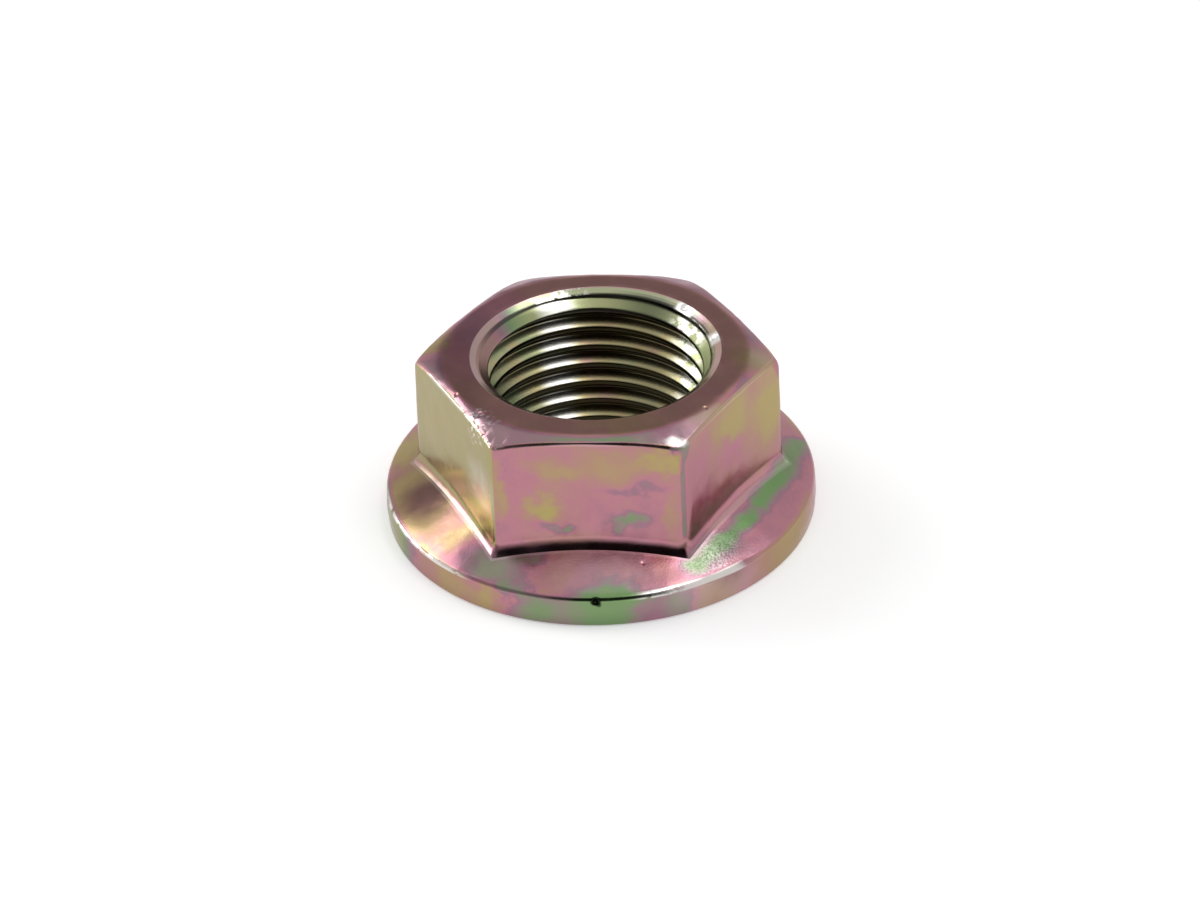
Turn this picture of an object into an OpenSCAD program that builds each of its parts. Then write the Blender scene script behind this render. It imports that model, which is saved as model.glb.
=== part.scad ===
/* [Hexagon] */

// Distance between two opposite flats of the hexagon, mm
across_flats = 21.8; // [21:0.1:23]
// How much the round easing takes off each upright corner, mm
corner_ease = 0.13; // [0.05:0.01:0.3]
// Full height of the nut from its bearing face to its top face, mm
nut_height = 12.1; // [10:0.1:16]
// Diameter of the flat ring at the top, where the corner bevel starts, mm
top_face_d = 20.8; // [19.5:0.1:20.8]
// Slope of the bevel that cuts the top corners of the hexagon, degrees
bevel_angle = 24; // [15:1:30]

/* [Flange] */

// Diameter of the round flange, mm
flange_d = 30; // [28.5:0.5:36]
// Height of the upright rim of the flange, mm
rim_height = 2.05; // [1.5:0.05:2.6]
// Slope of the cone that rises from the rim to the hexagon, degrees
flange_slope = 22.2; // [15:0.1:26]
// Radius of the eased upper edge of the rim, mm
rim_ease = 0.3; // [0.1:0.05:0.5]
// Bevel round the lower edge of the rim, mm
rim_bevel = 0.15; // [0.05:0.05:0.3]
// How far the hollow at the foot of each flat reaches out, mm
foot_reach = 0.42; // [0.2:0.02:0.6]
// Slope of the band that stands in for that hollow, degrees
foot_slope = 55; // [45:1:65]

/* [Threaded hole] */

// Wall to wall size of the hole, at the crests of the thread, mm
crest_d = 14.55; // [14.4:0.05:14.7]
// Diameter of the countersunk mouths at both faces, mm
mouth_d = 17.1; // [16.5:0.1:18]
// Slope of the countersunk mouths, degrees
mouth_slope = 45; // [30:1:60]

/* [Hidden] */

zinc_plate = [0.66, 0.58, 0.40];
round_fn = 96;
past = 1;

apothem = across_flats / 2;
flat_corner_r = apothem / cos(30);
eased_corner_r = flat_corner_r - corner_ease;
top_face_r = top_face_d / 2;
flange_r = flange_d / 2;
crest_r = crest_d / 2;
mouth_r = mouth_d / 2;

// The bevel's cone, from the top ring down past the corners
bevel_reach = flat_corner_r + past - top_face_r;
bevel_drop = bevel_reach * tan(bevel_angle);

// The flange's cone, met with the middle of a flat
cone_rise = tan(flange_slope);
cone_top_z = rim_height + (flange_r - apothem) * cone_rise;

// A steep cone for each flat, its axis set back so that its arch on the
// flat bends as the flange's own arch does
foot_rise = tan(foot_slope);
foot_top_z = cone_top_z + foot_reach * (foot_rise - cone_rise);
foot_set_back = apothem * foot_rise / cone_rise - apothem;
foot_r = apothem + foot_set_back;
foot_low_z = rim_height / 2;
foot_high_z = foot_top_z + past;

mouth_depth = (mouth_r - crest_r) * tan(mouth_slope);

// Four short steps round the rim's upper edge
ease_steps = 4;
ease_turn = 90 - flange_slope;
ease_centre_x = flange_r - rim_ease;
ease_centre_z = rim_height - rim_ease * tan(ease_turn / 2);
ease_points = [
    for (i = [0 : ease_steps])
        [ease_centre_x + rim_ease * cos(ease_turn * i / ease_steps),
         ease_centre_z + rim_ease * sin(ease_turn * i / ease_steps)]
];

// Half section of the flange, from its axis out to the rim and up the cone
module flange_section() {
    cone_apex_z = rim_height + flange_r * cone_rise;
    polygon(concat(
        [[0, 0],
         [flange_r - rim_bevel, 0],
         [flange_r, rim_bevel]],
        ease_points,
        [[apothem / 2, cone_apex_z - apothem / 2 * cone_rise],
         [0, cone_apex_z - apothem / 2 * cone_rise]]));
}

module flange() {
    rotate_extrude($fn = round_fn)
        flange_section();
}

// The six sided block with its corners eased and its top bevelled
module hexagon_block() {
    intersection() {
        cylinder(r = flat_corner_r, h = nut_height, $fn = 6);
        cylinder(r = eased_corner_r, h = nut_height, $fn = round_fn);
        union() {
            translate([0, 0, nut_height - bevel_drop])
                cylinder(r1 = top_face_r + bevel_reach, r2 = top_face_r,
                         h = bevel_drop, $fn = round_fn);
            cylinder(r = top_face_r + bevel_reach,
                     h = nut_height - bevel_drop, $fn = round_fn);
        }
    }
}

// One flat's steep cone, wide enough to cover the whole nut
module foot_cone() {
    low_r = foot_r + (foot_top_z - foot_low_z) / foot_rise;
    high_r = foot_r - (foot_high_z - foot_top_z) / foot_rise;
    translate([0, foot_set_back, foot_low_z])
        cylinder(r1 = low_r, r2 = high_r,
                 h = foot_high_z - foot_low_z, $fn = round_fn);
}

// What all six steep cones share is the hollow foot round the hexagon,
// mitred at the corners
module hollow_foot() {
    intersection() {
        foot_cone();
        rotate([0, 0, 60]) foot_cone();
        rotate([0, 0, 120]) foot_cone();
        rotate([0, 0, 180]) foot_cone();
        rotate([0, 0, 240]) foot_cone();
        rotate([0, 0, 300]) foot_cone();
    }
}

// The hole with a countersunk mouth at each face
module hole() {
    rotate_extrude($fn = round_fn)
        polygon([
            [0, -past],
            [mouth_r + past / tan(mouth_slope), -past],
            [crest_r, mouth_depth],
            [crest_r, nut_height - mouth_depth],
            [mouth_r + past / tan(mouth_slope), nut_height + past],
            [0, nut_height + past]
        ]);
}

module flange_nut() {
    color(zinc_plate)
        difference() {
            union() {
                flange();
                hexagon_block();
                hollow_foot();
            }
            hole();
        }
}

flange_nut();
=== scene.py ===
# %% [markdown]
# # A zinc-plated flange nut
#
# This lesson builds one small piece of hardware: a six-sided nut on a round
# flange, with a right-hand thread and a coloured plate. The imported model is
# the fixed frame. It gives the size and the place, and the visual nut made
# here takes the place of its plain solid.
#
# It could be modelled by hand, with a hexagon, a cone, Boolean and Bevel. Here
# every surface follows from one rule and a few sizes instead, so the arches,
# the hollow foot and the thread still fit each other when a size is changed.

# %% Load the frame
import math
from contextlib import contextmanager

import bmesh
import bpy
from mathutils import Matrix, Vector, noise


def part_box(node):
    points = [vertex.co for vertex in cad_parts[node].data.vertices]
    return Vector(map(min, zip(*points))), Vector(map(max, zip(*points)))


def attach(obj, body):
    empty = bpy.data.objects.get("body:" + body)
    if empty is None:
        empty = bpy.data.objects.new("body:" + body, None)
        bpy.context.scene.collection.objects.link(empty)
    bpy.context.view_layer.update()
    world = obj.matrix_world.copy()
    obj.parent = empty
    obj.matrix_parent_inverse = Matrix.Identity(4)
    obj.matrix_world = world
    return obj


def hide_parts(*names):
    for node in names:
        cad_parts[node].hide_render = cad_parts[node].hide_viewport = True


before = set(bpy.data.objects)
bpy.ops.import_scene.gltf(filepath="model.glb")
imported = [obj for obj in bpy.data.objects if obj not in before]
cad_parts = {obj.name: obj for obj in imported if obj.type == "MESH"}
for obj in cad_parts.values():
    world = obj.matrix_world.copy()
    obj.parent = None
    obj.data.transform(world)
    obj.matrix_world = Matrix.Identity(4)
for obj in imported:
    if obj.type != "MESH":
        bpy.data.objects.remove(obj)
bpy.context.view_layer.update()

# %% [markdown]
# ## Sizes
#
# All lengths are in metres, as the frame's are. The overall sizes are read
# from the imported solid, so the nut stays in its box. The others are those of
# a 16 mm fine thread with a 1.5 mm pitch, and of the hexagon that goes with it.
# The top face stays a little under the box, as tumbling leaves it.

# %% Sizes of the nut
MM = 0.001
low, high = (Vector(corner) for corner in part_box("flange_nut"))

tumbled_off = 0.1 * MM
flange_r = (high.x - low.x) / 2
nut_height = high.z - low.z - tumbled_off
apothem = 10.82 * MM        # from the axis to a flat
corner_out = 1.6 * MM       # how far a corner stands out past the flats
edge_drop = 0.36 * MM       # from the top face to the bevel's edge on a flat
bevel_slope = math.radians(14)
crest_r = 7.275 * MM
root_r = 8.0 * MM
pitch = 1.5 * MM

print("flange radius", round(flange_r / MM, 3), "mm, height", round(nut_height / MM, 3), "mm")

# %% [markdown]
# ## Sums in a node tree
#
# The nut's shape follows a rule, so a Geometry Nodes tree makes it. A rule is
# a row of sums, and each sum is a Math node. Placing hundreds of them by hand
# is slow to read and to write. So a small class lets an output socket be used
# as if it were a number: `a * b` makes a Multiply node and gives its output.

# %% A socket that can be used in sums
def plug(value, socket):
    """Link a wire to a socket, or write a plain number on it."""
    if isinstance(value, Wire):
        value.socket.id_data.links.new(value.socket, socket)
    else:
        socket.default_value = value


def maths(operation, *values):
    """A Math node; one value at least is a wire."""
    tree = next(v for v in values if isinstance(v, Wire)).socket.id_data
    node = tree.nodes.new("ShaderNodeMath")
    node.operation = operation
    for value, socket in zip(values, node.inputs):
        plug(value, socket)
    return Wire(node.outputs[0])


class Wire:
    """An output socket that adds, multiplies and so on, as a number does."""

    def __init__(self, socket):
        self.socket = socket

    def __add__(self, other):
        return maths("ADD", self, other)

    def __sub__(self, other):
        return maths("SUBTRACT", self, other)

    def __rsub__(self, other):
        return maths("SUBTRACT", other, self)

    def __mul__(self, other):
        return maths("MULTIPLY", self, other)

    def __truediv__(self, other):
        return maths("DIVIDE", self, other)

    def __gt__(self, other):
        return maths("GREATER_THAN", self, other)

    __radd__ = __add__
    __rmul__ = __mul__


def mix(share, first, second):
    """first where share is 0, second where it is 1."""
    return first + share * (second - first)


def held(value, low_limit, high_limit):
    """The value, held between two limits."""
    return maths("MINIMUM", maths("MAXIMUM", value, low_limit), high_limit)


def add_node(tree, kind, inputs=None, **settings):
    """A node with its settings and its inputs, by name or by number."""
    node = tree.nodes.new(kind)
    for name, value in settings.items():
        setattr(node, name, value)
    for name, value in (inputs or {}).items():
        plug(value, node.inputs[name])
    return node


def output_of(tree, kind, inputs=None, output=0, **settings):
    """One output of a new node, as a wire."""
    return Wire(add_node(tree, kind, inputs, **settings).outputs[output])


def pick(tree, index, values):
    """The value in the list that index names, with an Index Switch node."""
    node = add_node(tree, "GeometryNodeIndexSwitch", data_type="FLOAT")
    while len(node.index_switch_items) < len(values):
        node.index_switch_items.new()
    plug(index, node.inputs["Index"])
    for place, value in enumerate(values):
        plug(value, node.inputs[place + 1])
    return Wire(node.outputs[0])


print("wires can add, subtract, multiply, divide, compare and be mixed")


# %% A tree with named inputs
def new_tree(name, inputs):
    """A geometry tree with a named input for each size, and those wires."""
    tree = bpy.data.node_groups.new(name, "GeometryNodeTree")
    tree.interface.new_socket(name="Geometry", in_out="OUTPUT",
                              socket_type="NodeSocketGeometry")
    for label, value in inputs.items():
        kind = "NodeSocketInt" if isinstance(value, int) else "NodeSocketFloat"
        tree.interface.new_socket(name=label, in_out="INPUT", socket_type=kind)
    group_in = tree.nodes.new("NodeGroupInput")
    wires = {label: Wire(group_in.outputs[label]) for label in inputs}
    return tree, wires


print("each size of a tree becomes a wire")

# %% [markdown]
# ## The skin of the nut
#
# Seen from above, the nut is a polar shape: in each direction from its axis
# there is one half section, and only a few of its corners move as the
# direction turns. The flat's distance grows towards the hexagon's corners,
# and where it grows, the cone is met lower down and the bevel cuts deeper.
# That one rule gives the arches at the foot and the curved upper edges.
#
# So the tree draws one polyline for each direction, rounds its corners with
# Fillet Curve, as a forging die or a tumbling barrel would, and skins them
# with a grid whose vertices look up the polylines' points. A Boolean of a
# hexagon and a cone would give the same arches, but with long thin faces that
# no bevel rounds cleanly. Here the faces run evenly along every edge.

# %% The skin's sizes and counts
columns = 300
round_steps = 6

skin_sizes = {
    "Flange radius": flange_r,
    "Nut height": nut_height,
    "Apothem": apothem,
    "Wall draft": 0.2 * MM,         # how much wider the hexagon is at its foot
    "Corner round": 0.6 * MM,
    "Rim height": 2.15 * MM,
    "Rim taper": 0.1 * MM,
    "Flange slope": math.radians(22.2),
    "Top face radius": 10.35 * MM,
    "Edge drop": edge_drop,
    "Bevel slope": bevel_slope,
    "Foot reach": 0.34 * MM,        # how far the hollow foot runs out on the cone
    "Foot slope": math.radians(58),
    "Foot round": 1.4 * MM,
    "Mouth radius": 8.55 * MM,
    "Crest radius": crest_r,
    "Root radius": root_r,
    "Pitch": pitch,
    "Thread start": 1.05 * MM,
    "Crest share": 0.20,
    "Flank slope": math.radians(56),
    "Mouth lip": 0.55 * MM,
    "Lip slope": math.radians(30),
    "Rim round": 0.45 * MM,
    "Rim bulge": 3.0 * MM,
    "Bevel round": 0.42 * MM,
    "Top round": 2.6 * MM,
    "Lip round": 0.14 * MM,
    "Lower round": 0.18 * MM,
    "Columns": columns,
}
tree, size = new_tree("nut_by_rule", skin_sizes)
print(len(skin_sizes), "named inputs")

# %% [markdown]
# The direction of a column, and the hexagon's distance in that direction.
# A flat's distance is its apothem over the cosine of the turn from its
# middle. Near a corner the distance is that of a small round instead.
#
# The real nut is not the same all round. One corner was rubbed rounder, the
# rim's edge was rubbed wider beside it, and the upper edges are softer at the
# back. So a few roundings are given a direction.

# %% Direction and hexagon
TURN = 2 * math.pi
SIXTH = TURN / 6


def column_angle(column):
    """The direction of a column; the seam is at the back."""
    return column / size["Columns"] * TURN + TURN / 4


def hexagon(angle, inner, rounding):
    """Distance of a hexagon with rounded corners in a direction."""
    from_flat = maths("WRAP", angle, SIXTH, 0.0) - SIXTH / 2
    off = maths("ABSOLUTE", from_flat)
    straight = inner / maths("COSINE", off)
    centre = (inner - rounding) / math.cos(SIXTH / 2)
    from_corner = SIXTH / 2 - off
    across = centre * maths("SINE", from_corner)
    inside = maths("MAXIMUM", rounding * rounding - across * across, 0.0)
    arc = centre * maths("COSINE", from_corner) + maths("SQRT", inside)
    half_flat = (inner - rounding) * math.tan(SIXTH / 2)
    is_corner = off > maths("ARCTANGENT", half_flat / inner)
    return mix(is_corner, straight, arc)


def near_direction(angle, middle, width):
    """1 in a direction and 0 beyond a width from it, both in degrees."""
    off = maths("ABSOLUTE", maths("WRAP", angle, TURN, 0.0) - math.radians(middle))
    return maths("MAXIMUM", 1 - off / math.radians(width), 0.0)


rubbed_corner = 300, 25     # direction and width in degrees
rubbed_rim = 302, 18
print("the rubbed corner lies at", rubbed_corner[0], "degrees")

# %% [markdown]
# The half section, corner by corner, from the lower mouth round the outside
# to the upper mouth. Each corner has a distance from the axis, a height and
# the radius that it is rounded to. The bevel under the top face is domed: its
# edge drops with the square of how far the hexagon stands out, which keeps it
# level along a flat and lets it fall at a corner.

# %% The corners of one half section
index = output_of(tree, "GeometryNodeInputIndex")
top_shift = 0.16 * MM       # the top face sits a little to one side
tip_round = 0.12 * MM       # the foot's six tips, seen from above
tip_ease = 0.05 * MM        # and the line where the foot ends on the cone


def section(angle):
    """Distance, height and rounding of each corner in a direction."""
    corner = size["Corner round"] * (1 + near_direction(angle, *rubbed_corner) * 1.1)
    wall = hexagon(angle, size["Apothem"], corner)
    foot = hexagon(angle, size["Apothem"] + size["Wall draft"], corner)
    reach = size["Apothem"] + size["Wall draft"] + size["Foot reach"]
    tip = hexagon(angle, reach, tip_round)
    rise = maths("TANGENT", size["Flange slope"])
    rim_r = size["Flange radius"] - size["Rim taper"]
    fall = maths("TANGENT", size["Bevel slope"])
    top_r = size["Top face radius"] - maths("COSINE", angle) * top_shift
    rim_round = size["Rim round"] * (1 + near_direction(angle, *rubbed_rim))
    near_corner = (wall - size["Apothem"]) / corner_out
    bevel_z = (size["Nut height"] - size["Edge drop"]
               - (wall - size["Apothem"]) * near_corner * fall)
    at_back = held(1.3 + maths("SINE", angle) * 1.5, 0.0, 1.0)
    softer = (0.3 + 0.6 * at_back) * near_corner * near_corner
    bevel_round = size["Bevel round"] * (1 + softer)
    tip_z = size["Rim height"] + (rim_r - tip) * rise
    foot_z = tip_z + (tip - foot) * maths("TANGENT", size["Foot slope"])
    lip = size["Mouth lip"]
    lip_deep = lip * maths("TANGENT", size["Lip slope"])
    return [
        (size["Mouth radius"] - lip, lip_deep, 0.0),
        (size["Mouth radius"], 0.0, size["Lip round"]),
        (size["Flange radius"] - size["Rim taper"] * 0.8, 0.0, size["Lower round"]),
        (size["Flange radius"], size["Rim height"] * 0.45, size["Rim bulge"]),
        (rim_r, size["Rim height"], rim_round),
        (tip, tip_z, tip_ease),
        (foot, foot_z, size["Foot round"]),
        (wall, bevel_z, bevel_round),
        (top_r, size["Nut height"], size["Top round"]),
        (size["Mouth radius"], size["Nut height"], size["Lip round"]),
        (size["Mouth radius"] - lip, size["Nut height"] - lip_deep, 0.0),
    ]


print("the top face sits", round(top_shift / MM, 2), "mm to one side")

# %% [markdown]
# Long runs get spare points with no rounding, so that later waves and dents
# have something to move. They stay out of the reach of the rounded corners,
# because Fillet Curve cannot round past a neighbour.

# %% Spare points on the long runs
no_spares = (0, 0, 0)
spare_points = [        # for each run: how many, and from which share to which
    (2, 0.06, 0.3), (3, 0.1, 0.9), no_spares, no_spares, (7, 0.3, 0.92),
    no_spares, (12, 0.2, 0.86), no_spares, (4, 0.3, 0.9), (2, 0.7, 0.94)]


def with_spares(corners):
    """The same corners, with points spread over a part of the long runs."""
    points = [corners[0]]
    for (count, first, last), start, end in zip(spare_points, corners, corners[1:]):
        for step in range(count):
            share = first + (last - first) * step / (count - 1)
            points.append((start[0] * (1 - share) + end[0] * share,
                           start[1] * (1 - share) + end[1] * share, 0.0))
        points.append(end)
    return points


spare_total = sum(count for count, first, last in spare_points)
corner_total = len(spare_points) + 1
point_count = corner_total + spare_total
row_count = 2 + spare_total + (corner_total - 2) * (round_steps + 1)
print(point_count, "section points,", row_count, "after rounding")

# %% [markdown]
# One straight line with as many points as the section is set on every column,
# and then each point moves to its corner. Fillet Curve rounds them: a corner
# becomes seven points and a point with no rounding stays one.

# %% Polylines, rounded
column = maths("FLOOR", index / point_count)
corner = maths("MODULO", index, point_count)
angle = column_angle(column)
points = with_spares(section(angle))
distance = pick(tree, corner, [p[0] for p in points])
height = pick(tree, corner, [p[1] for p in points])
rounding = pick(tree, corner, [p[2] for p in points])


def polar_place(distance, angle, height):
    """A place in space from a distance, a direction and a height."""
    return output_of(tree, "ShaderNodeCombineXYZ", {
        "X": distance * maths("COSINE", angle),
        "Y": distance * maths("SINE", angle),
        "Z": height})


line = output_of(tree, "GeometryNodeCurvePrimitiveLine")
resampled = output_of(tree, "GeometryNodeResampleCurve",
                      {"Curve": line, "Count": point_count}, mode="COUNT")
stations = output_of(tree, "GeometryNodeMeshLine", {"Count": size["Columns"]})
on_stations = output_of(tree, "GeometryNodeInstanceOnPoints", {
    "Points": stations, "Instance": resampled})
real = output_of(tree, "GeometryNodeRealizeInstances", {0: on_stations})
placed = output_of(tree, "GeometryNodeSetPosition", {
    "Geometry": real, "Position": polar_place(distance, angle, height)})
smallest_round = 1e-6
count = mix(rounding > smallest_round, 1, round_steps)
rounded = output_of(tree, "GeometryNodeFilletCurve", {
    "Curve": placed, "Radius": rounding, "Count": count, "Limit Radius": True}, mode="POLY")
print(columns, "polylines of", point_count, "points")


# %% Skin the polylines
def grid(columns_wire, row_total):
    """A flat grid with one column more than the columns, for the seam."""
    return output_of(tree, "GeometryNodeMeshGrid",
                     {"Vertices X": columns_wire + 1, "Vertices Y": row_total})


def look_up(curves, row_total):
    """The place of a curve's point, from a grid vertex's own index."""
    column = maths("MODULO", maths("FLOOR", index / row_total), size["Columns"])
    row = maths("MODULO", index, row_total)
    return output_of(tree, "GeometryNodeSampleIndex", {
        "Geometry": curves,
        "Value": output_of(tree, "GeometryNodeInputPosition"),
        "Index": column * row_total + row},
        data_type="FLOAT_VECTOR", domain="POINT")


skin = output_of(tree, "GeometryNodeSetPosition", {
    "Geometry": grid(size["Columns"], row_count),
    "Position": look_up(rounded, row_count)})
print("skin:", columns, "by", row_count - 1, "faces")

# %% [markdown]
# ## The thread
#
# A thread is a groove that climbs one pitch with each turn. If the rows of a
# grid climb with it, each row keeps its place in the groove's section all the
# way round, so the crests and roots stay sharp with few faces. The rows run
# past both ends and are held back at the mouths, where they shrink to nothing
# and the last merge takes them out. After a full turn a row meets the one
# that is a pitch above it, so the seam closes by itself.
#
# The section is that of a metric thread as a tap cuts it: narrow flats at the
# crests, eased roots, and sloping flanks between them. Where the countersink
# is wider than the groove, the countersink wins, and the thread runs out in
# it. A Screw modifier would wind the section too, but leaves both ends open.

# %% Rows of the thread
groove_half = 0.5 - skin_sizes["Crest share"] / 2
root_half = groove_half - (root_r - crest_r) / math.tan(skin_sizes["Flank slope"]) / pitch
print("groove", round(groove_half * 2, 3), "of a pitch wide, root", round(root_half * 2, 3))

half_pitch = [0.0, 0.03, 0.07, 0.11, 0.17, 0.25, 0.33, 0.38, 0.41, 0.44, 0.47]
phases = half_pitch + [0.5] + [1 - share for share in reversed(half_pitch[1:])]
rows_per_pitch = len(phases)
turns = math.ceil(nut_height / pitch) + 2
thread_rows = rows_per_pitch * turns + 1
print(rows_per_pitch, "rows for each pitch,", thread_rows, "in all")

# %% The helical wall
column = maths("FLOOR", index / thread_rows)
row = maths("MODULO", index, thread_rows)
angle = column_angle(column)
phase = pick(tree, maths("MODULO", row, rows_per_pitch), phases)
climb = maths("FLOOR", row / rows_per_pitch) + phase
turned = column / size["Columns"]
run = size["Thread start"] + (turned - climb + (turns - 2)) * size["Pitch"]
lip_deep = size["Mouth lip"] * maths("TANGENT", size["Lip slope"])
level = held(run, lip_deep, size["Nut height"] - lip_deep)

from_root = maths("MINIMUM", phase, 1 - phase)
flank = (groove_half - from_root) * size["Pitch"] * maths("TANGENT", size["Flank slope"])
deep = size["Root radius"] - size["Crest radius"]
crest_ease, root_ease = 0.14 * MM, 0.12 * MM
eased = maths("SMOOTH_MAX", flank, 0.0, crest_ease)
groove = size["Crest radius"] + maths("SMOOTH_MIN", eased, deep, root_ease)
lip_r = size["Mouth radius"] - size["Mouth lip"] + lip_deep
upper_mouth = lip_r - (size["Nut height"] - level)
lower_mouth = lip_r - level
mouths = maths("MAXIMUM", upper_mouth, lower_mouth)
wall = maths("MAXIMUM", groove, mouths)
thread = output_of(tree, "GeometryNodeSetPosition", {
    "Geometry": grid(size["Columns"], thread_rows),
    "Position": polar_place(wall, angle, level)})
print("thread depth", round((root_r - crest_r) / MM, 3), "mm")

# %% [markdown]
# ## One closed skin
#
# The two grids share the same columns, so their edges lie on each other at
# the mouths. Merge by Distance joins them, closes the seam and takes out what
# shrank to nothing. The tree ends with Realize Instances and Set Material.

# %% Join, merge and finish the tree
merge_reach = 0.004 * MM
join = tree.nodes.new("GeometryNodeJoinGeometry")
for part in (skin, thread):
    plug(part, join.inputs[0])
merged = output_of(tree, "GeometryNodeMergeByDistance",
                   {"Geometry": Wire(join.outputs[0]), "Distance": merge_reach})
smooth = output_of(tree, "GeometryNodeSetShadeSmooth", {"Geometry": merged})
last = output_of(tree, "GeometryNodeRealizeInstances", {0: smooth})

plate = bpy.data.materials.new("coloured_zinc_plate")
plate.use_nodes = True
dressed = output_of(tree, "GeometryNodeSetMaterial", {"Geometry": last, "Material": plate})
plug(dressed, tree.nodes.new("NodeGroupOutput").inputs[0])
print(len(tree.nodes), "nodes")

# %% [markdown]
# A tree runs as a modifier on an object. Its sizes are set by each input's
# identifier before the object is first evaluated. The result is copied to a
# plain mesh and the modifier goes, so that the dents below can move vertices.

# %% Run the tree and keep a plain mesh
def new_object(name, data):
    """An object in the scene."""
    item = bpy.data.objects.new(name, data)
    bpy.context.scene.collection.objects.link(item)
    return item


def run_tree(name, tree, inputs):
    """The mesh that a tree makes, as an object with no modifier."""
    holder = new_object(name, bpy.data.meshes.new(name))
    modifier = holder.modifiers.new("rule", "NODES")
    modifier.node_group = tree
    for item in tree.interface.items_tree:
        if item.in_out == "INPUT" and item.name in inputs:
            modifier[item.identifier] = inputs[item.name]
    depsgraph = bpy.context.evaluated_depsgraph_get()
    mesh = bpy.data.meshes.new_from_object(holder.evaluated_get(depsgraph))
    holder.modifiers.clear()
    holder.data = mesh
    return holder


nut = run_tree("threaded_nut", tree, skin_sizes)
print(len(nut.data.vertices), "vertices,", len(nut.data.polygons), "faces")

# %% Turn the faces outwards and test that the skin is closed
@contextmanager
def editing(item):
    """The item's mesh, open for editing and then put back."""
    work = bmesh.new()
    work.from_mesh(item.data)
    yield work
    work.to_mesh(item.data)
    work.free()


def close_up(item, sliver):
    """Drop slivers, point the faces outwards and count the open edges."""
    with editing(item) as work:
        bmesh.ops.dissolve_degenerate(work, dist=sliver, edges=work.edges)
        bmesh.ops.recalc_face_normals(work, faces=work.faces)
        open_edges = sum(1 for edge in work.edges if not edge.is_manifold)
        return open_edges, work.calc_volume(signed=True)


open_edges, volume = close_up(nut, 0.0005 * MM)
print("open edges:", open_edges, " volume:", round(volume / MM ** 3, 1), "cubic mm")

# %% [markdown]
# ## Waves and dents
#
# A nut is forged, tumbled and shipped loose with many others. So its broad
# faces are not quite flat, which bends what they mirror, and its edges carry
# small dents. Both could be bump in the material, but then the outline and
# the exported mesh would miss them. The waves move the skin by a few
# hundredths of a millimetre.

# %% Waves on the outer skin
thread_reach, bottom_reach = 8.6, 0.4       # left in peace, in millimetres
broad_cells, fine_cells = 0.45, 1.3         # cells of noise for each millimetre
noise_shift = Vector((3, 7, 1))


def wave(item, depth):
    """Press the skin in by a soft cloud, but not in the thread."""
    with editing(item) as work:
        work.normal_update()
        for vertex in work.verts:
            place = vertex.co / MM
            if math.hypot(place.x, place.y) < thread_reach or place.z < bottom_reach:
                continue
            broad = noise.noise(place * broad_cells + noise_shift)
            fine = noise.noise(place * fine_cells)
            vertex.co -= vertex.normal * depth * (0.5 + 0.4 * broad + 0.25 * fine)


wave(nut, 0.05 * MM)
print("waved:", len(nut.data.vertices), "vertices")

# %% [markdown]
# A dent is round with a ragged edge. First the mesh round its place is made
# finer, then its vertices are pressed in, less and less towards the edge.


# %% Dents along the edges
def press(work, marks):
    """Press round dents, each a place, a radius and a depth in millimetres."""
    margin, finest = 0.15 * MM, 0.18        # the finest edge is a share of the reach
    for place, radius, depth in marks:
        centre = Vector(place) * MM
        reach = radius * MM
        for level in range(2):
            near = [face for face in work.faces
                    if (face.calc_center_median() - centre).length < reach * 1.5 + margin]
            # a dict keeps the order, so that each run cuts the same way
            edges = dict.fromkeys(edge for face in near for edge in face.edges
                                  if edge.calc_length() > reach * finest)
            bmesh.ops.subdivide_edges(work, edges=list(edges), cuts=1, use_grid_fill=True)
        work.normal_update()
        hit = [vertex for vertex in work.verts if (vertex.co - centre).length < reach * 1.4]
        if not hit:
            continue
        inward = -sum((vertex.normal for vertex in hit), Vector()).normalized()
        for vertex in hit:
            offset = (vertex.co - centre).length / reach
            offset *= 1 + 0.45 * noise.noise(vertex.co / reach * 1.3)
            if offset < 1:
                vertex.co += inward * depth * MM * (1 - offset * offset) ** 2
    bmesh.ops.triangulate(work, faces=[face for face in work.faces if len(face.verts) > 4])


marks = [
    ((0.45, -14.95, 2.02), 0.30, 0.30),     # nick in the rim's edge
    ((-7.45, -8.5, 11.50), 0.55, 0.08),     # dings on the front-left bevel edge
    ((-8.4, -6.95, 11.55), 0.32, 0.05),
    ((-6.9, -9.6, 11.35), 0.30, 0.06),
    ((-6.2, -10.1, 11.25), 0.34, 0.06),
    ((-5.5, -10.25, 11.35), 0.26, 0.05),
    ((-7.3, -7.6, 11.75), 0.45, 0.05),
    ((-8.98, -5.3, 11.9), 0.24, 0.05),      # specks on the bevel and the face
    ((7.6, -6.9, 11.9), 0.22, 0.05),
    ((0.8, -9.1, 12.0), 0.20, 0.03),
    ((3.48, -12.1, 3.1), 0.14, 0.04),
    ((-9.0, -11.9, 2.0), 0.22, 0.06),
    ((5.8, -10.3, 11.38), 0.55, 0.03),      # flattened front-right tip
    ((8.0, 1.9, 11.78), 0.50, 0.06),        # ding in the mouth's lip
    ((6.0, 5.9, 11.85), 0.45, 0.04),
]
with editing(nut) as work:
    press(work, marks)
nut.data.polygons.foreach_set("use_smooth", [True] * len(nut.data.polygons))
nut.data.calc_loop_triangles()
print(len(nut.data.loop_triangles), "triangles")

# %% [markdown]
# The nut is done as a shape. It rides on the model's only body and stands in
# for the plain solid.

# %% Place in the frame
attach(nut, "root")
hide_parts("flange_nut")
print("the nut's box:", [round(value / MM, 2) for value in nut.dimensions], "mm")

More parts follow.
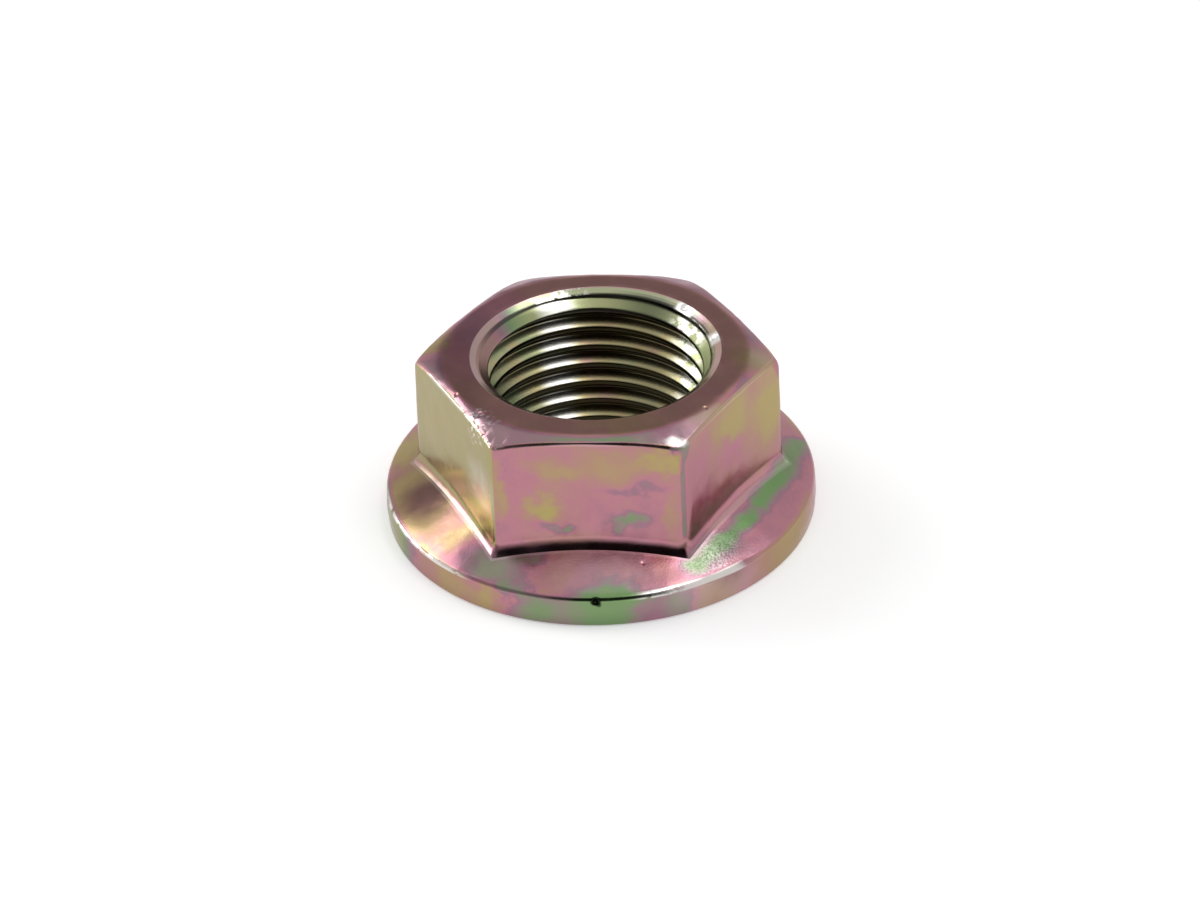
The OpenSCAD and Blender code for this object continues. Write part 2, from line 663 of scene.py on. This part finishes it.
# %% [markdown]
# ## The plate
#
# A zinc plate is sealed with a clear film of chromate that is a few hundred
# nanometres thick. Light that comes back from its two sides adds up or
# cancels, so the film's thickness shows as a colour: khaki, gold, pink,
# mauve, green, and then khaki again. The film is thicker where the bath
# drained slowly, so the colours lie in patches with soft, torn edges.
#
# The material keeps that idea. One number, the film, runs from 0 to 1 over
# the nut, and a colour ramp gives each thickness its colour. Between a pink
# patch and a green one the ramp passes through mauve and grey by itself, as
# the real film does. The ramp starts and ends in khaki, so the film can also
# run round. Painting the colours one by one would leave hard borders instead.

# %% Helpers for the plate's nodes
plate_nodes = plate.node_tree.nodes
shader = plate_nodes["Principled BSDF"]


def plate_node(kind, inputs=None, **settings):
    """A node of the plate's material."""
    return add_node(plate.node_tree, kind, inputs, **settings)


def vectors(operation, *values, scale=None, output=0):
    """A Vector Math node; one value at least is a wire."""
    wire = next(v for v in (*values, scale) if isinstance(v, Wire))
    inputs = dict(enumerate(values))
    if scale is not None:
        inputs["Scale"] = scale
    return output_of(wire.socket.id_data, "ShaderNodeVectorMath", inputs, output,
                     operation=operation)


def fade(value, zero_at, one_at):
    """A smooth step from 0 to 1 between two values."""
    return output_of(value.socket.id_data, "ShaderNodeMapRange", {
        "Value": value, "From Min": zero_at, "From Max": one_at},
        interpolation_type="SMOOTHSTEP")


def blend(kind, share, first, second):
    """Two colours or two vectors in one Mix node; kind is Color or Vector."""
    node = plate_node("ShaderNodeMix", {"Factor": share},
                      data_type={"Color": "RGBA", "Vector": "VECTOR"}[kind])
    sockets = {socket.identifier: socket for socket in (*node.inputs, *node.outputs)}
    plug(first, sockets["A_" + kind])
    plug(second, sockets["B_" + kind])
    return Wire(sockets["Result_" + kind])


print("the plate starts with", len(plate_nodes), "nodes")

# %% [markdown]
# Every mask of the plate asks where it is or which way the surface faces.
# Both come from the object's own coordinates, so nothing slides when the nut
# or the camera moves.

# %% Places, directions and clouds
object_place = plate_nodes.new("ShaderNodeTexCoord")
in_mm = vectors("SCALE", Wire(object_place.outputs["Object"]), scale=1 / MM)
facing = Wire(object_place.outputs["Normal"])


def cloud(scale, detail=3.0, roughness=0.5, place=in_mm, output="Fac"):
    """Noise, with its scale in cells for each millimetre."""
    return output_of(plate.node_tree, "ShaderNodeTexNoise", {
        "Vector": place, "Scale": scale, "Detail": detail, "Roughness": roughness}, output)


def toward(direction, low_dot, high_dot):
    """1 where the surface faces a direction, 0 where it faces away."""
    return fade(vectors("DOT_PRODUCT", facing, direction, output="Value"), low_dot, high_dot)


parts_of_place = plate_node("ShaderNodeSeparateXYZ", {0: in_mm})
place_x, place_y, place_z = (Wire(o) for o in parts_of_place.outputs)
from_axis = maths("SQRT", place_x * place_x + place_y * place_y)
facing_up = Wire(plate_node("ShaderNodeSeparateXYZ", {0: facing}).outputs["Z"])


def inside(radius, blur=0.1):
    """1 nearer to the axis than a radius in millimetres."""
    return fade(from_axis, radius, radius - blur)


print(len(plate_nodes), "nodes give places, directions and clouds")

# %% [markdown]
# A hexagonal distance tells how near a place is to the edges of the flats. It
# is the greatest of its distances towards the three pairs of flats.

# %% Distance in the hexagon's own measure
flat_directions = 90, 30, 150
leans = [maths("ABSOLUTE", place_x * math.cos(a) + place_y * math.sin(a))
         for a in map(math.radians, flat_directions)]
hex_reach = maths("MAXIMUM", maths("MAXIMUM", leans[0], leans[1]), leans[2])
print("three pairs of flats, at", flat_directions, "degrees")

# %% [markdown]
# Torn edges come from moving the place that a patch is measured at. A coarse
# cloud bends the patch and finer ones fray its edge. Where the real film only
# runs softly, the half torn place is used: a third of the same bend.

# %% A place that is bent by noise
tears = [(0.32, 3.2), (1.3, 1.1), (4.5, 0.35)]      # cells for each mm, reach in mm
torn = in_mm
for scale, reach in tears:
    centred = vectors("SUBTRACT", cloud(scale, 2.0, output="Color"), (0.5, 0.5, 0.5))
    torn = vectors("ADD", torn, vectors("SCALE", centred, scale=reach))
half_torn = blend("Vector", 0.35, in_mm, torn)
print(len(tears), "clouds tear the patches' edges")

# %% [markdown]
# A patch is a spot or a streak, soft at its edge. A spot can be squashed, and
# a streak follows the line between two places, as a run of the bath does.


# %% Spots and streaks
def patch_edge(gap, radius, soft):
    """1 well within a radius, 0 well beyond it."""
    return fade(gap, radius * (1 + soft), radius * (1 - soft))


def spot(centre, radius, soft=0.35, squash=(1, 1, 1), place=torn):
    """A patch: 1 within a radius of a centre in millimetres."""
    shaped = vectors("MULTIPLY", vectors("SUBTRACT", place, centre), squash)
    return patch_edge(vectors("LENGTH", shaped, output="Value"), radius, soft)


def soft_spot(*shape):
    """A spot whose edge is only half torn."""
    return spot(*shape, place=half_torn)


def streak(start, end, radius, soft=0.35):
    """A patch along a straight run between two places in millimetres."""
    run = Vector(end) - Vector(start)
    from_start = vectors("SUBTRACT", half_torn, start)
    along = vectors("DOT_PRODUCT", from_start, run / run.length_squared, output="Value")
    nearest = vectors("SCALE", tuple(run), scale=held(along, 0.0, 1.0))
    gap = vectors("DISTANCE", from_start, nearest, output="Value")
    return patch_edge(gap, radius, soft)


print("patches fade over their radius times 1 - soft to 1 + soft")

# %% [markdown]
# First a mask for each side of the nut. A flat is known by the way it faces,
# the rim, the cone and the top face by their height, the thread by its
# distance from the axis.

# %% Masks for the sides of the nut
front_flat = toward((0, -1, 0), 0.8, 0.95)
left_flat = toward((-0.866, -0.5, 0), 0.8, 0.95)
right_flat = toward((0.866, -0.5, 0), 0.8, 0.95)
off_left_flat = 1 - left_flat
upper = fade(place_z, 3.2, 4.2)
top_side = fade(place_z, 11.2, 11.7) * toward((0, 0, 1), 0.85, 0.97)
rim_side = fade(place_z, 2.35, 2.0)
below_lip = nut_height / MM - 0.36
thread_side = (inside(8.1, 0.08) * fade(place_z, 0.3, 0.4)
               * fade(place_z, below_lip + 0.04, below_lip))
bevel_side = (fade(place_z, 10.9, 11.1) * toward((0, 0, 1), 0.80, 0.87)
              * fade(from_axis, 10.2, 10.6))
cone_side = fade(place_z, 2.2, 2.4) * fade(place_z, 5.2, 4.6) * toward((0, 0, 1), 0.8, 0.9)
back_half = fade(place_y, 3.0, 7.0)
print("the thread ends", round(below_lip, 2), "mm up")

# %% [markdown]
# The film's thickness on each side of the nut. The base is a cloud that stays
# between gold and mauve. Over it each side that the bath treated in its own
# way is set, later rows over earlier ones, and then the whole is stirred once
# more. In the thread the film runs round: FRACT takes it from khaki at the
# ramp's end to khaki at its start.

# %% The film on each side
GOLD, SALMON, PINK, MAUVE, GREY, GREEN, LIME, KHAKI = (
    0.12, 0.28, 0.42, 0.52, 0.62, 0.76, 0.88, 1.0)

film = fade(cloud(0.13, 3.0, 0.55, torn), 0.36, 0.66) * 0.30 + 0.20
film = film + (cloud(0.9, 4.0, 0.6) - 0.5) * 0.16

thread_film = maths("FRACT", 1.16 - maths("ABSOLUTE", place_x) * 0.034
                    + (cloud(0.4, 3.0, 0.6) - 0.5) * 0.8)

ridge_band = (fade(hex_reach, 11.06, 11.16) * fade(hex_reach, 11.6, 11.5)
              * fade(place_z, 5.2, 4.6))
sides = [       # how much of the side, and the film on it
    (front_flat * upper * 0.8, 0.41),
    (right_flat * upper * 0.6, 0.34),
    (left_flat * fade(place_z, 2.2, 3.0), 0.02),
    (top_side, 0.33),
    (bevel_side * 0.85, 0.60),
    (rim_side * 0.6, 0.38),
    (cone_side * 0.75, 0.42),
    (ridge_band, 0.38),
    (thread_side, thread_film),
    # mouth: the land, the lip at the back, both at the left
    (inside(8.1) * fade(place_z, 10.6, 10.9), 0.92),
    (inside(8.5, 0.05) * fade(place_z, 11.6, 11.7) * fade(place_y, 3.5, 6.0), 0.92),
    (inside(8.5, 0.05) * fade(place_z, 10.8, 11.0) * fade(place_x, -3.6, -7.6)
     * fade(place_y, 6.5, 2.0), 0.32),
]
for share, value in sides:
    film = mix(share, film, value)
film = film + (cloud(0.5, 5.0, 0.62) - 0.5) * 0.18 + (cloud(7.0, 2.0) - 0.5) * 0.12

print(len(sides), "sides have a film of their own")

# %% [markdown]
# Then the patches that the eye remembers, laid over the sides. The strip down
# the front right corner is green, where the bath ran off.

# %% The film in patches
def spots(mask, rows):
    """Spots on one side; each row is a spot's shape and the film in it."""
    return [(mask * spot(*shape), value) for *shape, value in rows]


ran_off = fade(from_axis / hex_reach + fade(place_z, 9.6, 11.4) * 0.03, 1.143, 1.149)
corner_strip = (ran_off * fade(place_z, 4.0, 4.6) * fade(place_z, 11.4, 11.2)
                * fade(from_axis, 11.4, 11.6) * fade(place_x, 0.0, 1.0))
patches = [     # how much of the patch, and the film in it
    (corner_strip * 0.9, GREEN - 0.06),
    *spots(front_flat, [
        ((1.6, -10.9, 9.9), 1.3, 0.8, (0.6, 1, 1.2), 0.22),
        ((-1.8, -10.9, 9.4), 0.9, 0.8, (0.6, 1, 1.2), 0.20),
        ((4.9, -10.9, 9.9), 0.9, 0.7, (0.6, 1, 1.2), 0.15),
        ((-3.2, -10.9, 6.6), 0.9, 0.7, (0.8, 1, 1.2), 0.12),
        ((-2.0, -11.0, 5.3), 0.6, 0.8, (0.5, 1, 1.2), GREEN - 0.06),
        ((2.4, -11.0, 5.4), 0.65, 0.8, (0.6, 1, 1.3), GREEN - 0.04),
        ((3.4, -11.0, 7.9), 0.7, 0.8, (0.4, 1, 1.6), GREY - 0.04),
        ((5.4, -11.0, 6.2), 0.9, 0.8, (1.4, 1, 0.5), 0.26),
        ((-5.8, -11.0, 8.0), 0.7, 0.6, (1.4, 1, 0.4), 0.22),
    ]),
    *spots(right_flat, [
        ((9.6, -5.2, 10.2), 2.0, 0.6, 0.14),
        ((12.0, -1.4, 8.2), 2.2, 0.6, 0.13),
        ((9.3, -5.8, 7.4), 1.4, 0.5, PINK),
        ((7.1, -9.2, 7.6), 1.8, 0.5, (1, 1, 0.6), PINK),
    ]),
    # cone of the flange
    (off_left_flat * spot((-12.4, -4.4, 2.7), 3.6, 0.4), 0.17),
    (off_left_flat * soft_spot((-11.6, -4.6, 3.1), 1.6, 0.7), 0.31),
    (spot((-13.8, 2.0, 2.6), 2.4, 0.6), 0.14),
    (spot((-9.0, -9.2, 3.1), 1.8, 0.6), 0.19),
    (soft_spot((-7.9, -10.7, 2.8), 1.2, 0.7), MAUVE - 0.03),
    (spot((-6.6, -12.2, 2.6), 1.3, 0.7, (0.8, 1, 1)), GREEN - 0.10),
    (spot((-4.4, -11.8, 3.1), 0.7, 0.8, (0.6, 1, 1)), GREEN - 0.10),
    (spot((1.6, -14.5, 2.3), 1.0, 0.7, (0.4, 1, 1)), GREEN + 0.03),
    (spot((-5.2, -13.7, 2.4), 0.8, 0.7, (0.6, 1, 1)), GREEN - 0.08),
    (streak((6.8, -11.6, 2.7), (8.6, -9.6, 3.0), 0.8, 0.9) * 0.85, GREEN + 0.03),
    (streak((8.9, -9.3, 3.2), (10.6, -6.6, 3.4), 0.6, 0.7), GREEN),
    (streak((11.2, -5.4, 3.4), (12.6, -1.6, 3.2), 0.8, 0.6), GREEN),
    (streak((13.0, -0.8, 3.0), (13.6, 3.0, 2.7), 0.8, 0.7), GREEN - 0.04),
    *spots(rim_side, [
        ((1.0, -15.0, 1.0), 2.9, 0.7, GREEN - 0.02),
        ((-3.4, -14.6, 0.8), 1.9, 0.8, GREEN - 0.04),
        ((5.8, -13.9, 1.2), 1.5, 0.8, GREY + 0.03),
        ((-7.0, -13.3, 1.4), 1.2, 0.8, 0.16),
        ((8.4, -12.4, 0.7), 1.6, 0.8, 0.26),
        ((13.4, -7.0, 1.2), 3.2, 0.6, 0.18),
        ((-14.2, -4.6, 1.0), 3.6, 0.6, 0.96),
        ((-9.6, -11.6, 1.0), 2.0, 0.8, 0.2),
    ]),
    *spots(top_side, [
        ((-8.6, 3.0, 12.0), 4.0, 0.8, 0.47),
        ((2.5, -8.9, 12.0), 2.2, 0.9, 0.24),
    ]),
    # bevel
    (soft_spot((11.0, -0.8, 11.7), 1.6, 0.8), 0.19),
    (bevel_side * soft_spot((8.0, -7.0, 11.7), 2.0, 0.8), 0.25),
    (bevel_side * spot((1.0, -10.4, 11.7), 3.2, 0.8), 0.70),
    (spot((-11.4, 1.5, 11.4), 1.6, 0.5), 0.16),
    (bevel_side * back_half * 0.7, PINK),
]
for share, value in patches:
    film = mix(share, film, value)
print(len(patches), "patches")

# %% [markdown]
# The ramp holds the colours themselves, as they look under plain white light,
# because a metal's base colour is what it mirrors of white.

# %% Colours of the film
film_level = 0.92
ramp = plate_node("ShaderNodeValToRGB", {"Fac": film})
film_colours = [
    (0.00, (0.400, 0.370, 0.178)),
    (GOLD, (0.434, 0.352, 0.140)),
    (SALMON, (0.450, 0.262, 0.200)),
    (PINK, (0.490, 0.215, 0.262)),
    (MAUVE, (0.360, 0.190, 0.245)),
    (GREY, (0.310, 0.240, 0.225)),
    (GREEN, (0.190, 0.330, 0.135)),
    (LIME, (0.300, 0.360, 0.150)),
    (KHAKI, (0.392, 0.361, 0.180)),
]
elements = ramp.color_ramp.elements
while len(elements) < len(film_colours):
    elements.new(0.5)
for element, (at, colour) in zip(elements, film_colours):
    element.position = at
    element.color = (*(film_level * part for part in colour), 1)
print(len(elements), "colours on the ramp")

# %% [markdown]
# Painted shade takes light away, in two ways. The thread is painted darker on
# all but the flanks that look up, as shade in its grooves. And a few patches
# are painted darker than the film alone would be: dimmed reflections on the
# flange, and shade in the hollow under the front flat, in the land and the
# narrow ring under the mouth's lip, and in the nick. Each patch takes its
# share of the light, so where two meet they multiply.

# %% Painted shade
steep = fade(facing_up, 0.35, 0.80)
# painted shade in the thread, on all but the flanks that look up
painted_shade_level = 1 - thread_side * (1 - steep) * 0.9
# the hollow under the front flat, for painted shade
hollow_front = (toward((0, -1, 0), 0.7, 0.85) * fade(facing_up, 0.12, 0.3)
                * fade(place_z, 4.9, 4.6) * fade(place_z, 3.0, 3.2))
painted_shades = [      # where, and how much of the light it takes
    # painted dark reflections and dimmed highlights on the flange cone, painted shade at the
    # left flat's foot and on the top face's left
    (off_left_flat * soft_spot((-11.6, -4.6, 3.1), 1.9, 0.6), 0.58),
    (off_left_flat * soft_spot((-11.1, -7.2, 2.8), 1.4, 0.8), 0.2),
    (spot((-13.2, -2.4, 2.7), 3.0, 0.6), 0.2),
    (left_flat * spot((-6.9, -9.8, 4.3), 0.8, 0.8), 0.7),
    (top_side * fade(place_x, -6.5, -8.5) * fade(place_y, 4.5, 1.5), 0.22),
    (soft_spot((-7.9, -10.6, 2.8), 1.3, 0.7), 0.32),
    # painted shade on the back of the bevel, a dimmed highlight on the cone's right, painted
    # shade in the hollow under the front flat
    (bevel_side * back_half, 0.35),
    (soft_spot((8.6, -10.6, 2.7), 1.7, 0.7), 0.42),
    (hollow_front, 0.6),
    # painted shade in the mouth: the land at the right, the ring under the lip, the left
    (inside(8.35) * fade(place_z, 10.5, 10.8) * fade(place_x, 0.0, 3.5)
     * fade(place_y, 2.0, 4.0), 0.55),
    (inside(8.22) * fade(place_z, 11.50, 11.58) * fade(place_z, 11.76, 11.71)
     * fade(place_y, 0.0, 4.0), 0.85),
    (inside(8.6) * fade(place_z, 10.8, 11.2) * fade(place_x, -4.5, -7.0), 0.3),
    # painted shade in the nick
    (spot((0.45, -14.8, 1.94), 0.32, 0.3, (0.9, 1, 1.1), in_mm), 0.95),
    (spot((0.66, -14.9, 1.72), 0.16, 0.6, place=in_mm), 0.8),
]
for share, strength in painted_shades:
    painted_shade_level = painted_shade_level * (1 - share * strength)
print(len(painted_shades), "painted_shades")

# %% [markdown]
# At the foot of the left flat the film is lime. It is mixed in as a colour,
# because between khaki and lime the ramp would pass through pink.

# %% Lime at the left flat's foot
lime_foot = left_flat * soft_spot((-7.6, -9.0, 5.5), 1.9, 0.8) * 0.85
film_tint = blend("Color", lime_foot, Wire(ramp.outputs["Color"]), (0.330, 0.400, 0.150, 1))
tint = vectors("SCALE", film_tint, scale=painted_shade_level)
print("the plate's own colour is ready")

# %% [markdown]
# Edges knock against other nuts, and there the film is rubbed off. The zinc
# under it is pale and grey. The same pale zinc is also laid on as painted
# highlights and glints, on the lip, the thread's flanks, the left flat, the
# ridge, the cone and the rim's edge. The hexagonal distance finds the ridge at
# the foot, and the bevel's own rule finds its edge: past the flats the edge
# drops with the square, as it does in the half section.

# %% Masks for the edges
past_flat = from_axis - apothem / MM
bevel_drop = past_flat * past_flat / (corner_out / MM) * math.tan(bevel_slope)
below_bevel = (nut_height - edge_drop) / MM - bevel_drop - place_z

bevel_edge = (fade(hex_reach, 10.58, 10.72) * fade(below_bevel, 0.26, 0.14)
              * fade(place_z, 10.6, 10.8))
mouth_edge = inside(8.6) * fade(place_z, 11.7, 11.8)
lip_side = inside(8.60, 0.06) * fade(place_z, 11.55, 11.65)
ridge = fade(hex_reach, 11.15, 11.25) * fade(hex_reach, 11.56, 11.5) * fade(place_z, 4.9, 4.3)
rim_edge = fade(from_axis, 14.5, 14.6) * fade(place_z, 1.84, 1.94)
broken = fade(cloud(2.4, 3.0, 0.6), 0.42, 0.56)
chipped = fade(cloud(1.1, 4.0, 0.65), 0.40, 0.50)
grain = cloud(7.0, 3.0, 0.7)
print("the bevel's edge drops", round(corner_out * math.tan(bevel_slope) / MM, 2),
      "mm at a corner")

# %% [markdown]
# Each row below is a place and how pale it is made, by rubbing or as a painted
# highlight. They don't add up: the palest row wins, so two glints that meet stay
# as pale as zinc and no paler.

# %% Rubbed-off film and painted highlights
wear_and_glints = [
    # bevel: its edge, rubbed and with a painted highlight at the front left, a painted glint
    # on the front right tip, the scuffed corner, faint pale film
    (bevel_edge, 0.12),
    (bevel_edge * spot((-9.8, -4.6, 11.5), 3.2, 0.3), 0.4),
    (bevel_edge * spot((-7.0, -9.2, 11.4), 1.9, 0.3) * broken, 1.0),
    (soft_spot((5.7, -10.3, 11.35), 0.42, 0.4, (0.5, 1, 1.2)), 1.0),
    (spot((-7.2, -8.3, 11.5), 0.8, 0.7) * fade(cloud(3.2, 2.0), 0.53, 0.60), 0.8),
    (bevel_side * soft_spot((7.4, -8.0, 11.7), 1.6, 0.8), 0.2),
    (bevel_side * soft_spot((11.0, -0.2, 11.7), 1.5, 0.8), 0.15),
    # mouth: its edge, the painted glints on the lip, the land
    (mouth_edge, 0.2),
    (inside(8.6) * fade(place_z, 11.6, 11.7) * spot((-3.6, 7.4, 11.8), 1.8, 0.6)
     * fade(cloud(1.8, 3.0), 0.42, 0.52), 1.0),
    (lip_side * soft_spot((5.9, 5.9, 11.8), 0.85, 0.5), 1.0),
    (lip_side * soft_spot((7.95, 1.9, 11.75), 0.75, 0.5), 1.0),
    (inside(8.35) * fade(place_z, 10.6, 10.9), 0.06),
    # thread: painted highlights on the flanks that look up
    (thread_side * steep * fade(place_z, 10.8, 10.6), 0.10),
    (thread_side * steep * spot((-3.2, 6.9, 0.0), 1.2, 0.7, (1, 1, 0.0), in_mm), 0.9),
    (thread_side * steep * spot((6.2, 4.2, 0.0), 1.6, 0.7, (1, 1, 0.0), in_mm)
     * fade(cloud(1.3, 3.0), 0.40, 0.55), 0.7),
    # painted highlights on the left flat, the ridge at the foot and the cone
    (left_flat * soft_spot((-7.3, -9.2, 6.9), 1.6, 0.9) * fade(place_z, 5.2, 6.2), 0.5),
    (ridge * (1 - toward((0, -1, 0.3), 0.6, 0.85)), 0.12),
    (cone_side * spot((8.2, -10.9, 2.7), 1.9, 0.9) * fade(grain, 0.40, 0.62), 0.3),
    (cone_side * spot((1.2, -12.9, 2.8), 2.4, 0.9), 0.14),
    # rim: its side, and painted highlights on its edge
    (rim_side * spot((7.4, -12.9, 1.4), 2.2, 0.8), 0.15),
    (rim_side * spot((9.9, -11.2, 1.0), 2.0, 0.8), 0.15),
    (rim_edge * fade(from_axis, 14.68, 14.80) * spot((-12.4, -8.2, 2.0), 5.5, 0.2)
     * fade(cloud(0.9, 3.0), 0.38, 0.46), 0.8),
    (rim_edge * spot((8.0, -12.4, 2.0), 2.8, 0.3), 0.8),
    (rim_edge * spot((4.6, -14.1, 2.0), 1.6, 0.5) * chipped, 0.8),
]
wear_and_glint_share = 0.0
for share, strength in wear_and_glints:
    wear_and_glint_share = maths("MAXIMUM", share * strength, wear_and_glint_share)
# the pale zinc of rubbed edges, also used for the painted highlights
pale_zinc_for_wear_and_glints = (0.80, 0.78, 0.74, 1)
tint_with_wear_and_glints = blend("Color", wear_and_glint_share, tint, pale_zinc_for_wear_and_glints)
plug(tint_with_wear_and_glints, shader.inputs["Base Color"])
print(len(wear_and_glints), "worn places")

# %% [markdown]
# The plate is metal under a thin film, so the shader is fully metallic. Its
# gloss is not even: the roll and the bath leave fine grain, and the flats
# carry faint upright lines from the forming die. These marks are finer than
# any face and never reach the outline, so only here a bump is the better way.

# %% Gloss and grain
shader.inputs["Metallic"].default_value = 1.0
gloss = fade(cloud(0.6, 4.0, 0.6), 0.3, 0.75) * 0.14 + 0.13
thread_gloss = 0.26
plug(mix(thread_side, gloss + corner_strip * 0.2, thread_gloss), shader.inputs["Roughness"])
shader.inputs["Specular Tint"].default_value = (0.86, 0.80, 0.82, 1)

flat_sides = fade(place_z, 3.6, 4.4) * fade(place_z, 11.6, 11.2)
upright_lines = (5.0, 5.0, 0.35)        # the cloud is drawn out along the height
lines = cloud(1.0, 3.0, 0.6, vectors("MULTIPLY", in_mm, upright_lines))
relief = lines * flat_sides * 0.5 + grain * (0.6 + cone_side * 0.7)
bump = output_of(plate.node_tree, "ShaderNodeBump", {
    "Height": relief, "Strength": 0.25, "Distance": 0.02 * MM})
plug(bump, shader.inputs["Normal"])
print(len(plate_nodes), "nodes in the plate")

# %% [markdown]
# ## Floor, light and camera
#
# The nut lies on white paper in a photographer's tent. The paper is a plain
# diffuse floor, so it keeps the nut's shadow. What the camera and the nut's
# own mirror see of it also glows a little, which makes it white without any
# more light on the nut. A brighter lamp would do it too, but would burn out
# the pale edges.

# %% The floor
floor_half = 3.0
floor_gap = 0.02 * MM
sheet = bpy.data.meshes.new("studio_floor")
sheet.from_pydata([(x * floor_half, y * floor_half, 0)
                   for x, y in ((-1, -1), (1, -1), (1, 1), (-1, 1))], [], [(0, 1, 2, 3)])
floor = new_object("studio_floor", sheet)
floor.location.z = low.z - floor_gap

WHITE = (1, 1, 1, 1)
paper = bpy.data.materials.new("white_paper")
paper.use_nodes = True
sheet.materials.append(paper)
paper_tree = paper.node_tree
diffuse = paper_tree.nodes["Principled BSDF"]
diffuse.inputs["Base Color"].default_value = (0.8, 0.8, 0.8, 1)
diffuse.inputs["Roughness"].default_value = 1.0
diffuse.inputs["Specular IOR Level"].default_value = 0.0
matt = Wire(diffuse.outputs[0])
glow = output_of(paper_tree, "ShaderNodeEmission", {"Color": WHITE, "Strength": 0.35})
both = output_of(paper_tree, "ShaderNodeAddShader", {0: matt, 1: glow})
path = paper_tree.nodes.new("ShaderNodeLightPath")
camera_ray, glossy_ray, clear_ray = (
    Wire(path.outputs[f"Is {kind} Ray"]) for kind in ("Camera", "Glossy", "Transmission"))
seen = maths("MAXIMUM", maths("MAXIMUM", camera_ray, glossy_ray), clear_ray)
chosen = output_of(paper_tree, "ShaderNodeMixShader", {0: seen, 1: matt, 2: both})
plug(chosen, paper_tree.nodes["Material Output"].inputs[0])
print("floor:", 2 * floor_half, "m wide")

# %% [markdown]
# Polished metal shows what stands round it, so the tent matters more than the
# lamps. Its wall is pale, with three soft darker patches: behind the nut, at
# the front left, and, darkest, where the camera looks in, which draws dark
# lines along the edges. The directions turn with the camera. A world of a few
# patches needs no picture of a studio and has no hard borders.

# %% The tent that the nut mirrors
world = bpy.data.worlds.new("light_tent")
bpy.context.scene.world = world
world.use_nodes = True
backdrop = world.node_tree.nodes["Background"]
camera_turn = math.radians(4.38)


def tent_direction(right, back, up):
    """A direction in the tent, turned with the camera."""
    away = Vector((right, back, up)).normalized()
    return Matrix.Rotation(camera_turn, 3, "Z") @ away


ray = output_of(world.node_tree, "ShaderNodeTexCoord", output="Generated")


def lit(direction, inner, outer):
    """1 within the inner angle of a direction, 0 beyond the outer one."""
    along = vectors("DOT_PRODUCT", ray, direction, output="Value")
    return fade(along, math.cos(math.radians(outer)), math.cos(math.radians(inner)))


wall_level = 0.85
tent_patches = [        # direction, inner and outer angle, level
    (tent_direction(0, 0.81, 0.58), 8, 32, 0.33),
    (tent_direction(-0.55, -0.4, 0.5), 10, 40, 0.42),
    (tent_direction(0.0, -0.834, 0.552), 22, 38, 0.02),
]
level = wall_level
for direction, inner, outer, value in tent_patches:
    level = mix(lit(direction, inner, outer), level, value)
plug(level, backdrop.inputs["Strength"])
backdrop.inputs["Color"].default_value = WHITE
print(len(tent_patches), "patches in the tent")

# %% [markdown]
# Three soft boxes add what the tent cannot: one over the right shoulder that
# draws the highlight on the cone and the thread, and two at the left, high
# and low, for the cone's glint and the rim. They are large for their distance,
# so their reflections have soft ends.


# %% Soft lamps
def soft_lamp(name, direction, distance, width, height, watts):
    """A soft box that faces the nut."""
    lamp = bpy.data.lights.new(name, "AREA")
    lamp.shape = "RECTANGLE"
    lamp.size = width
    lamp.size_y = height
    lamp.energy = watts
    item = new_object(name, lamp)
    item.location = direction * distance
    item.rotation_euler = direction.to_track_quat("Z", "Y").to_euler()


away = 0.6
soft_lamp("right_box", tent_direction(0.37, -0.05, 0.92), away, 0.46, 0.2, 0.66)
soft_lamp("left_box", tent_direction(-0.66, 0.38, 0.65), away, 0.26, 0.24, 0.65)
soft_lamp("left_low", tent_direction(-0.93, 0.31, 0.15), away, 0.28, 0.18, 0.80)
print("three boxes,", away, "m away")

# %% [markdown]
# The camera stands where the photographer's did. It looks down by about 34
# degrees from a hand's breadth away, turned and rolled by a few degrees. Its
# lens is given by a focal length in pixels, as it was measured on the
# picture, and the middle of the picture lies a little off the nut.

# %% The camera
camera_data = bpy.data.cameras.new("camera")
camera = new_object("camera", camera_data)
bpy.context.scene.camera = camera

camera_distance = 194.3 * MM
camera_height = math.radians(33.88)
camera_roll = math.radians(2.42)
focal_pixels = 2814.4
image_width = 1200          # pixels
sensor_width = 36.0         # millimetres
offset_x, offset_y = -1.09, -15.69      # from the picture's middle, in pixels

back = Vector((math.sin(camera_turn) * math.cos(camera_height),
               -math.cos(camera_turn) * math.cos(camera_height),
               math.sin(camera_height)))
aim = Vector((0, 0, 5.21 * MM))
side = Vector((math.cos(camera_turn), math.sin(camera_turn), 0))
up = back.cross(side)
right_axis = side * math.cos(camera_roll) - up * math.sin(camera_roll)
up_axis = side * math.sin(camera_roll) + up * math.cos(camera_roll)
per_pixel = camera_distance / focal_pixels
middle = aim - right_axis * offset_x * per_pixel + up_axis * offset_y * per_pixel
turn = Matrix((right_axis, up_axis, back)).transposed().to_4x4()
camera.matrix_world = Matrix.Translation(middle + back * camera_distance) @ turn
camera_data.sensor_width = sensor_width
camera_data.lens = focal_pixels / image_width * sensor_width
camera_data.clip_start = 0.01
print("lens", round(camera_data.lens, 2), "mm")

bpy.context.scene.view_settings.view_transform = "Standard"
